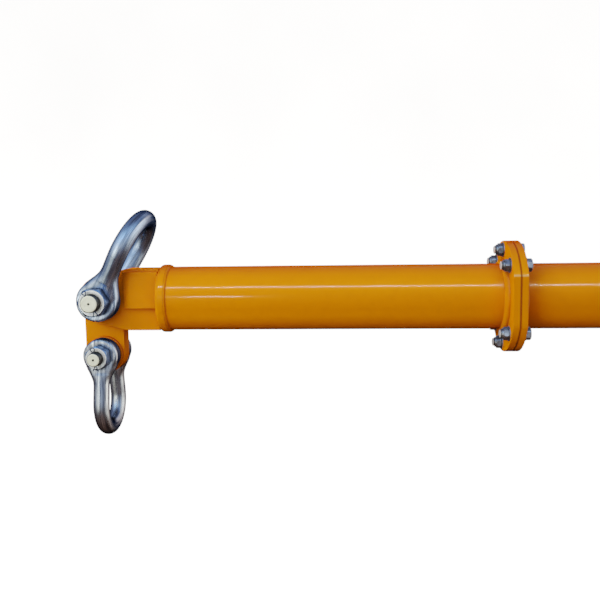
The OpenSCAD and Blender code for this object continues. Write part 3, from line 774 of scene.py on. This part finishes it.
def bolt_group(hand):
    """Six bolts with heads on the strut side, as one piece; and their nuts and washers."""
    bolts, nuts, washers = [], [], []
    seat = FLANGE_T + WASHER_T
    top = seat + NUT_T
    tip = top + 0.005
    for a in ANGLES:
        a = math.radians(a)
        m = Matrix.Translation((FL_X1, PCD_R * math.cos(a), PCD_R * math.sin(a))) @ TO_BACK_X

        def turned(v, f):
            """Placed after a random turn about its own axis."""
            return place(place(v, Matrix.Rotation(float(RNG.uniform(0, math.pi / 3)), 4, "Z")), m), f
        bolts.append(turned(*lathe(hex_rows(BOLT_AF, -seat - HEAD_T, -seat)[::-1], 72)))
        rows = [(-seat, BOLT_R), (seat, BOLT_R)]
        rows += thread_rows(seat + NUT_T * 0.8, tip - 0.0010, BOLT_R, 0.0025, 0.0012, hand, 8)
        v, f = lathe(rows + [(tip - 0.0006, 0.0088), (tip, 0.0079)], 48)
        bolts.append((place(v, m), f))
        rows = [(seat, 0.0112), (seat, 0.0139)] + hex_rows(BOLT_AF, seat + 0.0002, top - 0.0044)
        # the lock collar and the thread mouth
        rows += [(top - 0.0044, 0.0131), (top - 0.0018, 0.0130), (top - 0.0007, 0.0126), (top, 0.0117)]
        rows += [(top, 0.0108), (top - 0.0012, 0.0101), (top - 0.003, 0.0099)]
        nuts.append(turned(*lathe(rows, 72, caps=False)))
        for h0 in (FLANGE_T, -seat):
            h1 = h0 + WASHER_T
            rows = [(h0, 0.0107), (h0, 0.0181), (h0 + 0.0004, 0.0185), (h1 - 0.0005, 0.0185), (h1, 0.0179),
                    (h1, 0.0107)]
            v, f = lathe(rows, 48, caps=False)
            washers.append((place(v, m), f))
    return merge(bolts), merge(nuts), merge(washers)


for side, hand, tag in SIDES:
    for (v, f), what, sharp in zip(bolt_group(hand), ("bolts", "nuts", "washers"), (32.0, 32.0, 40.0)):
        ob = make(f"flange_{what}_{tag}", v, f, M_BOLT, sharp, True)
        if what == "bolts":
            # the stud ends beyond the nuts take the copy of the zinc painted as lit
            ob.data.materials.append(M_BOLT_TIP_LIT)
            for poly in ob.data.polygons:
                if poly.center.x < FL_X0 - WASHER_T - NUT_T - 0.0032:
                    poly.material_index = 1
        if side == "right":
            ob = to_right(ob)
        use(ob, "beam", "bolt_zinc", f"joint_{what}_{side}")


# ---------------------------------------------------------------- weld beads
def ring_bead(x, leg, r, direction, seed, plate_r=None):
    """Fillet weld round the tube, laid down as overlapping ripples. direction is where the plate is."""
    rng = np.random.default_rng(seed)
    n, m = 540, 11
    ph = np.cumsum(rng.normal(1.0, 0.10, n))
    ph = ph / ph[-1] * round(2 * math.pi * r / 0.0052)
    lump = np.interp(np.arange(n), np.linspace(0, n, 41), np.append(rng.normal(0, 1, 40), 0))
    lump[-14:] = np.linspace(lump[-14], lump[0], 14)
    roundness = 0.62   # 0 is a straight face, 1 a round one
    verts = []
    for i in range(n):
        a = 2 * math.pi * i / n
        rip = abs(math.sin(math.pi * ph[i])) ** 0.7
        for j in range(m):
            u = j / (m - 1)
            b = math.pi / 2 * u
            bulge = leg * (1.0 + 0.10 * math.sin(2 * b) + 0.085 * rip * math.sin(2 * b) + 0.02 * lump[i])
            dx = bulge * (math.cos(b) * roundness + (1 - u) * (1 - roundness))
            dr = bulge * (math.sin(b) * roundness + u * (1 - roundness))
            rad = min(r - 0.0008 + dr, plate_r or math.inf)
            verts.append((x - direction * dx, rad * math.cos(a), rad * math.sin(a)))
        verts.append((x + direction * 0.0006, (r - 0.001) * math.cos(a), (r - 0.001) * math.sin(a)))
    k = m + 1
    faces = []
    for i in range(n):
        i2 = (i + 1) % n
        for j in range(k):
            j2 = (j + 1) % k
            faces.append((i * k + j, i * k + j2, i2 * k + j2, i2 * k + j))
    return verts, faces


def weld(name, node, *beads):
    use(make(name, *merge(beads), M_WELD, 60.0), "beam", "weld", node)


WELD, PLATE_WELD = 0.0125, 0.0056
for s, k in (("left", 1), ("right", -1)):
    weld(f"flange_weld_bead_{s}", f"flange_weld_{s}", ring_bead(k * FL_X0, WELD, TUBE_R, k, 11 + k))
    weld(f"plate_weld_bead_{s}", f"plate_weld_{s}",
         ring_bead(k * PLATE_X1, PLATE_WELD, TUBE_R, -k, 21 + k, PLATE_R - 0.0004))
weld("strut_weld_beads", "strut_welds",
     ring_bead(STRUT_X0, WELD, TUBE_R, -1, 30), ring_bead(STRUT_X1, WELD, TUBE_R, 1, 32))


# ---------------------------------------------------------------- plates with eased edges
def arc(cx, cz, r, a0, a1, n):
    """Points on an arc, angles in radians."""
    angles = [a0 + (a1 - a0) * i / n for i in range(n + 1)]
    return [(cx + r * math.cos(a), cz + r * math.sin(a)) for a in angles]


def inset(pts, d):
    """A closed anticlockwise outline moved inwards by d (outwards if d is negative)."""
    P = np.array(pts, float)
    a = P - np.roll(P, 1, axis=0)
    b = np.roll(P, -1, axis=0) - P
    na = np.stack([-a[:, 1], a[:, 0]], 1) / np.linalg.norm(a, axis=1)[:, None]
    nb = np.stack([-b[:, 1], b[:, 0]], 1) / np.linalg.norm(b, axis=1)[:, None]
    m = na + nb
    m /= np.maximum((m * na).sum(1), 0.2)[:, None]
    return P + m * d


def cut_plate(name, outline, holes, h0, h1, ease, mat, steps=4):
    """A flame-cut plate from h0 to h1 on local Z: an outline, round holes (x, y, radius) and eased edges."""
    bm = bmesh.new()
    loops = [(np.array(outline, float), 1.0)]
    loops += [(np.array(arc(x, y, r, 0, 2 * math.pi, 72)[:-1]), -1.0) for x, y, r in holes]
    faces_in = {0: [], 1: []}
    for pts, sign in loops:
        rows = []
        for i in range(steps + 1):
            a = math.pi / 2 * i / steps
            rows.append((inset(pts, sign * ease * (1 - math.sin(a))), h0 + ease * (1 - math.cos(a))))
        rows += [(q, h0 + h1 - h) for q, h in reversed(rows)]
        ring = [[bm.verts.new((x, y, h)) for x, y in q] for q, h in rows]
        n = len(pts)
        for k in range(len(ring) - 1):
            for j in range(n):
                bm.faces.new((ring[k][j], ring[k][(j + 1) % n], ring[k + 1][(j + 1) % n], ring[k + 1][j]))
        for end, r in ((0, ring[0]), (1, ring[-1])):
            faces_in[end] += [bm.edges.get((r[j], r[(j + 1) % n])) for j in range(n)]
    for end in (0, 1):
        bmesh.ops.triangle_fill(bm, use_beauty=True, use_dissolve=False, edges=faces_in[end])
    bmesh.ops.recalc_face_normals(bm, faces=bm.faces)
    for f in bm.faces:
        f.smooth = True
    me = bpy.data.meshes.new(name)
    bm.to_mesh(me)
    bm.free()
    ob = bpy.data.objects.new(name, me)
    scene.collection.objects.link(ob)
    me.materials.append(mat)
    even_faces(ob)
    return ob


def both_ends(build, label, body, slot, node):
    """A piece made at the left end, and its mirror image at the right end."""
    left = build(f"{label}_left")
    use(mirrored(left, f"{label}_right"), body.format("right"), slot, node.format("right"))
    use(left, body.format("left"), slot, node.format("left"))
    return left


lo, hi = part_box("drop_link_left")
LINK_R, LINK_T = (hi.x - lo.x) / 2, hi.y - lo.y
lo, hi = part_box("link_bosses_left")
BOSS_R, BOSS_T = (hi.x - lo.x) / 2, hi.y - LINK_T / 2
DROP = U_PIN.z - L_PIN.z
HOLE_U, HOLE_L = 0.027, 0.02225


def drop_link(name):
    pts = arc(0, 0, LINK_R, 0, math.pi, 48)
    pts += [(-LINK_R, -DROP * i / 8) for i in range(1, 8)]
    pts += arc(0, -DROP, LINK_R, math.pi, 2 * math.pi, 48)
    pts += [(LINK_R, -DROP * (1 - i / 8)) for i in range(1, 8)]
    ob = cut_plate(name, pts, [(0, 0, HOLE_U), (0, -DROP, HOLE_L)], -LINK_T / 2, LINK_T / 2, 0.0020, M_LINK)
    ob.data.transform(Matrix.Translation(U_PIN) @ TO_FRONT)
    return ob


both_ends(drop_link, "drop_link_plate", "link_{}", "paint", "drop_link_{}")


def link_bosses(name):
    parts = []
    for s in (-1, 1):
        r0, r1, t, c = HOLE_L, BOSS_R, BOSS_T, 0.0016
        rows = [(0.0, r0), (0.0, r1)]
        rows += [(t - c + c * math.sin(a), r1 - c + c * math.cos(a)) for a in np.linspace(0, math.pi / 2, 5)]
        rows += [(t - c + c * math.cos(a), r0 + c - c * math.sin(a)) for a in np.linspace(0, math.pi / 2, 4)]
        v, f = lathe(rows, 96, caps=False)
        way = Matrix.Identity(4) if s > 0 else Matrix.Rotation(math.pi, 4, "X")
        m = Matrix.Translation((0, 0, s * LINK_T / 2)) @ way
        parts.append((place(v, m), f))
    v, f = merge(parts)
    ob = make(name, v, f, M_BOSS, 60.0, True)
    ob.data.transform(Matrix.Translation(L_PIN) @ TO_FRONT)
    return ob


both_ends(link_bosses, "link_boss_pair", "link_{}", "paint", "link_bosses_{}")

lo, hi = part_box("fork_front_left")
FORK_Y0, FORK_Y1 = -hi.y, -lo.y
NOSE_R, FORK_H, FORK_REACH, TAPER_X = U_PIN.x - lo.x, hi.z - lo.z, hi.x - U_PIN.x, 0.066


def fork_outline():
    dist = math.hypot(TAPER_X, FORK_H / 2)
    turn = math.atan2(FORK_H / 2, TAPER_X) + math.acos(NOSE_R / dist)
    a, b = Vector((TAPER_X, FORK_H / 2)), Vector((NOSE_R * math.cos(turn), NOSE_R * math.sin(turn)))
    pts = [(FORK_REACH, -FORK_H / 2), (FORK_REACH, FORK_H / 2)]
    pts += [(FORK_REACH + (TAPER_X - FORK_REACH) * i / 6, FORK_H / 2) for i in range(1, 7)]
    pts += [tuple(a.lerp(b, i / 6)) for i in range(1, 6)]
    nose = arc(0, 0, NOSE_R, turn, 2 * math.pi - turn, 60)
    rest = [(x, -z) for x, z in reversed(pts[2:])]
    return pts + nose + rest


def fork_cheek(sign):
    def build(name):
        h = (FORK_Y0, FORK_Y1) if sign < 0 else (-FORK_Y1, -FORK_Y0)
        ob = cut_plate(name, fork_outline(), [(0, 0, HOLE_U)], h[0], h[1], 0.0018, M_FORK)
        ob.data.transform(Matrix.Translation(U_PIN) @ TO_FRONT)
        return ob
    return build


both_ends(fork_cheek(-1), "fork_cheek_front", "beam", "paint", "fork_front_{}")
both_ends(fork_cheek(1), "fork_cheek_rear", "beam", "paint", "fork_rear_{}")


def flange_outline():
    """Round flange with two upright flats that meet the arc at sharp corners."""
    a0 = math.acos(FL_Y / FL_R)
    pts = [(FL_Y, FL_R * math.sin(a0) * (2 * i / 12 - 1)) for i in range(1, 12)]
    pts += arc(0, 0, FL_R, a0, math.pi - a0, 72)
    pts += [(-FL_Y, -z) for _, z in [(0, FL_R * math.sin(a0) * (2 * i / 12 - 1)) for i in range(1, 12)]]
    pts += arc(0, 0, FL_R, math.pi + a0, 2 * math.pi - a0, 72)
    return pts


BORE_R = 0.07415
FLANGE_HOLES = [(0, 0, BORE_R)]
FLANGE_HOLES += [(PCD_R * math.cos(math.radians(a)), PCD_R * math.sin(math.radians(a)), 0.011) for a in ANGLES]


def flange_plate(x0, x1):
    def build(name):
        ob = cut_plate(name, flange_outline(), FLANGE_HOLES, x0, x1, 0.0016, M_FLANGE)
        ob.data.transform(CROSS)
        return ob
    return build


both_ends(flange_plate(FL_X0, FL_X1), "end_flange_plate", "beam", "paint", "end_flange_{}")
both_ends(flange_plate(FL_X1, FL_X1 + FLANGE_T), "strut_flange_plate", "beam", "paint", "strut_flange_{}")


def end_cap(name):
    """The round end plate: soft turned front edge, square back edge under the weld."""
    edge, back = 0.009, 0.0010
    rows = [(PLATE_X0, PLATE_R - edge)]
    rows += [(PLATE_X0 + edge * (1 - math.cos(a)), PLATE_R - edge + edge * math.sin(a))
             for a in np.linspace(0, math.pi / 2, 9)[1:]]
    rows += [(PLATE_X0 + edge + 0.001, PLATE_R), (PLATE_X1 - back - 0.001, PLATE_R)]
    rows += [(PLATE_X1 - back + back * math.sin(a), PLATE_R - back + back * math.cos(a))
             for a in np.linspace(0, math.pi / 2, 4)]
    v, f = lathe(rows, 144)
    ob = make(name, v, f, M_PAINT, 60.0, True)
    ob.data.transform(CROSS)
    return ob


both_ends(end_cap, "end_cap_plate", "beam", "paint", "end_plate_{}")


# ---------------------------------------------------------------- straight weld beads of the fork
def straight_bead(length, leg, seed, ripple=0.0052):
    """Fillet weld in the corner of local +X and +Y faces, running along local Z."""
    rng = np.random.default_rng(seed)
    n, m = max(24, int(length / 0.0009)), 9
    ph = np.cumsum(rng.normal(1.0, 0.12, n + 1))
    ph = ph / ph[-1] * max(2, round(length / ripple))
    rows = []
    for i in range(n + 1):
        z = length * i / n
        end = min(1.0, z / (leg * 0.7) + 0.12, (length - z) / (leg * 0.7) + 0.12)
        size = leg * (0.55 + 0.45 * math.sqrt(max(0.0, 1 - (1 - end) ** 2)))
        rip = abs(math.sin(math.pi * ph[i])) ** 0.7
        pts = []
        for j in range(m):
            b = math.pi / 2 * j / (m - 1)
            bulge = 1.0 + (0.08 + 0.10 * rip) * math.sin(2 * b)
            c, q = math.cos(b) * 0.55 + (1 - j / (m - 1)) * 0.45, math.sin(b) * 0.55 + j / (m - 1) * 0.45
            pts.append((size * c * bulge, size * q * bulge, z))
        pts.append((-0.0005, -0.0005, z))
        rows += pts
    k = m + 1
    faces = grid_faces(n + 1, k) + [tuple(range(k - 1, -1, -1)), tuple(range(n * k, n * k + k))]
    return np.array(rows), faces


def fork_beads(name):
    x = U_PIN.x + FORK_REACH
    parts = []
    low, high = -FORK_H / 2 + 0.004, FORK_H / 2 - 0.004
    # y of the corner, the side the weld is on, and where it starts and ends
    runs = [(PAD_Y, 1, PAD_Z0, 0.066), (FORK_Y1, 1, low, PAD_Z0), (FORK_Y0, -1, low, high)]
    for s in (-1, 1):
        for i, (y, out, z0, z1) in enumerate(runs):
            v, f = straight_bead(z1 - z0, 0.0068, 90 + 7 * i + s)
            m = Matrix(((-1, 0, 0, x), (0, s * out, 0, s * y), (0, 0, 1, z0), (0, 0, 0, 1)))
            parts.append((place(v, m), f))
    v, f = merge(parts)
    return make(name, v, f, M_WELD, 60.0)


lo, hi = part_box("fork_pads_left")
PAD_Y, PAD_Z0 = hi.y, lo.z
both_ends(fork_beads, "fork_weld_beads", "beam", "weld", "fork_welds_{}")


# ---------------------------------------------------------------- CAD parts that keep their shape
def dress(node, mat, width, segments=2):
    """A CAD part keeps its mesh: its corners are eased by a bevel, and it gets its material."""
    ob = nodes[node]
    ob.data.materials.clear()
    ob.data.materials.append(mat)
    for poly in ob.data.polygons:
        poly.material_index = 0
        poly.use_smooth = True
    if width:
        w = ob.modifiers.new("weld", "WELD")
        w.merge_threshold = 0.00002
        b = ob.modifiers.new("ease", "BEVEL")
        b.width, b.segments, b.limit_method, b.angle_limit = width, segments, "ANGLE", math.radians(32)
        b.use_clamp_overlap = True
        even_faces(ob)


for s in ("left", "right"):
    dress(f"end_tube_{s}", M_PAINT, 0)
    dress(f"fork_pads_{s}", M_PAINT, 0.0015, 3)
dress("strut_tube", M_PAINT, 0)


# ---------------------------------------------------------------- studio
FLOOR_Z = -1.30


def pale_cove():
    """A pale floor that curves up behind the object; it neither lights nor shows in the object."""
    t = Tree("floor_pale")
    tone = t.ramp(t.noise(t.coords(), 0.6, 3, 0.5), [(0.3, srgb(246, 246, 246)), (0.7, srgb(250, 250, 250))])
    t.set(Base_Color=tone, Roughness=0.85, Specular_IOR_Level=0.15, Emission_Color=tone, Emission_Strength=2.6)
    bend, half = 3.0, 16.0
    prof = [(y, FLOOR_Z) for y in (-14.0, -6, -2, 2)]
    prof += [(4.0 + bend * math.sin(a), FLOOR_Z + bend - bend * math.cos(a))
             for a in np.linspace(0, math.pi / 2, 16)]
    prof.append((7.0, 9.0))
    me = bpy.data.meshes.new("cove")
    me.from_pydata([(x, y, z) for y, z in prof for x in (-half, half)], [],
                   [(2 * i, 2 * i + 1, 2 * i + 3, 2 * i + 2) for i in range(len(prof) - 1)])
    me.polygons.foreach_set("use_smooth", [True] * len(me.polygons))
    ob = bpy.data.objects.new("cove", me)
    scene.collection.objects.link(ob)
    me.materials.append(t.mat)
    ob.visible_glossy = ob.visible_diffuse = False
    ob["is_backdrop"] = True


def studio_world():
    """White for the camera, with one light for matt surfaces and another for shiny ones."""
    w = Tree("studio", world=True)
    scene.world = w.mat
    w.t.nodes.clear()
    ray = w.add("ShaderNodeTexCoord").outputs["Generated"]

    def along(d):
        """How far a ray points along d, from 0 to 1."""
        return w.plus(w.mul(w.vmath("DOT_PRODUCT", ray, Vector(d).normalized(), 1), 0.5), 0.5)

    def background(colour, strength):
        return w.add("ShaderNodeBackground", Color=colour, Strength=strength).outputs[0]

    def choose(fac, a, b):
        return w.add("ShaderNodeMixShader", i0=fac, i1=a, i2=b).outputs[0]
    shiny = w.mix(1.0, w.ramp(along((0, 0, 1)), GLOSS_UP), w.ramp(along((0, 1, 0)), GLOSS_BACK), "MULTIPLY")
    for d, inner, outer, colour in WINDOWS:
        c0, c1 = ((math.cos(math.radians(a)) + 1) / 2 for a in (outer, inner))
        shiny = w.mix(1.0, shiny, w.ramp(along(d), [(0.0, 0.0), (c0, 0.0), (c1, colour)]), "ADD")
    soft = w.ramp(along((0, -0.35, 0.94)), SOFT)
    path = w.add("ShaderNodeLightPath").outputs
    seen = choose(path["Is Glossy Ray"], background(soft, 1.0), background(shiny, 1.0))
    seen = choose(path["Is Camera Ray"], seen, background((1.0, 1.0, 1.0), 3.2))
    w.add("ShaderNodeOutputWorld", Surface=seen)


def area(name, at, aim, size, power):
    """A rectangular area light, size (width, height), that the camera doesn't see."""
    d = bpy.data.lights.new(name, "AREA")
    d.shape, d.size, d.size_y, d.energy = "RECTANGLE", *size, power
    o = bpy.data.objects.new(name, d)
    scene.collection.objects.link(o)
    o.location = at
    o.rotation_euler = (Vector(aim) - Vector(at)).to_track_quat("-Z", "Y").to_euler()
    o.visible_camera = False
    return o


def lights():
    # the large soft lights shape the paint; shiny surfaces see the windows of the world instead
    for light in SOFT_LIGHTS:
        area(*light).visible_glossy = False
    # narrow strips behind the camera: the thin bright lines along the tube
    painted = bpy.data.collections.new("painted_pieces")
    for ob in scene.objects:
        if ob.type == "MESH" and any(m and m.name.startswith("paint") for m in ob.data.materials):
            painted.objects.link(ob)
            ob.visible_glossy = False
    for at, power, long in STRIPS:
        strip = area("strip", at, (at[0], 0, 0), (long, 0.22), power)
        strip.visible_diffuse = False
        strip.light_linking.receiver_collection = painted


# what shiny surfaces see: a cool room by height, warm and dark below...
GLOSS_UP = [
    (0.0, (0.15, 0.10, 0.09)), (0.20, (0.18, 0.13, 0.13)), (0.33, (0.26, 0.27, 0.33)),
    (0.40, (0.36, 0.42, 0.54)), (0.50, (0.52, 0.64, 0.88)), (0.67, (0.78, 1.12, 1.75)),
    (0.82, (0.66, 1.12, 2.15)), (0.93, (0.30, 0.50, 1.05)), (1.0, (0.18, 0.26, 0.46))]
# ...dimmer behind the object...
GLOSS_BACK = [(0.0, 1.0), (0.30, 0.90), (0.50, (0.50, 0.44, 0.42)), (0.70, (0.38, 0.33, 0.31)),
              (1.0, (0.26, 0.21, 0.20))]
# ...with soft round windows: direction, angles in degrees where they are full and where they end, colour
WINDOWS = [
    ((-0.66, -0.72, 0.20), 6, 24, (1.1, 1.2, 1.1)),
    ((-0.50, -0.86, 0.0), 6, 17, (1.9, 2.2, 2.1)),
    ((-0.62, -0.75, -0.25), 6, 20, (0.9, 1.0, 0.9)),
    ((-0.38, -0.68, 0.62), 8, 22, (0.4, 0.8, 1.3)),
    ((0.97, 0.10, 0.05), 12, 36, (2.3, 2.5, 2.5)),
    ((-0.33, -0.94, -0.10), 4, 11, (1.6, 1.7, 1.6)),
    ((0.72, 0.69, 0.05), 18, 48, (0.62, 0.52, 0.50)),
]
# what matt surfaces see: white light from above and in front, dark and warm from below
SOFT = [(0.0, (0.10, 0.045, 0.02)), (0.42, (0.17, 0.11, 0.07)), (0.62, (0.64, 0.62, 0.57)),
        (1.0, (0.66, 0.66, 0.64))]
# name, place, aim, size, power
SOFT_LIGHTS = [
    ("key", (-3.2, -2.3, 1.7), (-0.9, 0, 0), (3.0, 1.6), 104),
    ("fill", (-1.75, -1.6, 0.25), (-1.28, 0, -0.08), (0.9, 0.6), 6.5),
    ("rear", (0.6, 3.6, 2.4), (0, 0, 0), (3.0, 1.6), 45),
    ("top", (-0.4, 0.2, 3.4), (-0.4, 0, 0), (4.2, 2.2), 16),
]
# place, power, length
STRIPS = [((-0.4, -5.2, 5.0), 3000, 6.5), ((-2.0, -5.2, 0.95), 250, 0.6)]
pale_cove()
studio_world()
lights()

# ---------------------------------------------------------------- camera at the photograph's viewing angle
cam_data = bpy.data.cameras.new("camera")
cam_data.sensor_width = 36.0
cam_data.lens = 43.1
cam_data.clip_start, cam_data.clip_end = 0.05, 100.0
cam = bpy.data.objects.new("camera", cam_data)
scene.collection.objects.link(cam)
CAM_FROM_PIN = Vector((0.65694, -1.88276, 0.19956))
CAM_TURN = (0.110, 0.069, -0.014)    # tilt down, turn, and roll, in radians
tilt, turn, roll = CAM_TURN
world_to_cam = (Matrix.Rotation(tilt, 3, "X") @ Matrix.Rotation(turn, 3, "Y") @
                Matrix.Rotation(roll, 3, "Z")) @ Matrix(((1, 0, 0), (0, 0, -1), (0, 1, 0)))
right, down, ahead = world_to_cam[0], world_to_cam[1], world_to_cam[2]
facing = Matrix((right, -down, -ahead)).transposed().to_4x4()
cam.matrix_world = Matrix.Translation(U_PIN + CAM_FROM_PIN) @ facing
scene.camera = cam
scene.view_settings.view_transform = "Standard"
scene.view_settings.look = "None"
scene.view_settings.exposure = 0.0
# camera response: straight in the shadows, with a soft shoulder towards white at 3
WHITE = 3.0
RESPONSE = [(0.05, 0.048), (0.10, 0.098), (0.20, 0.195), (0.34, 0.300), (0.51, 0.392), (0.67, 0.458),
            (0.90, 0.540), (1.21, 0.620), (2.0, 0.800)]
scene.view_settings.use_curve_mapping = True
cm = scene.view_settings.curve_mapping
cm.white_level = (WHITE, WHITE, WHITE)
curve = cm.curves[3]
for x, y in RESPONSE:
    curve.points.new(x / WHITE, y)
cm.update()

lo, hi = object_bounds()
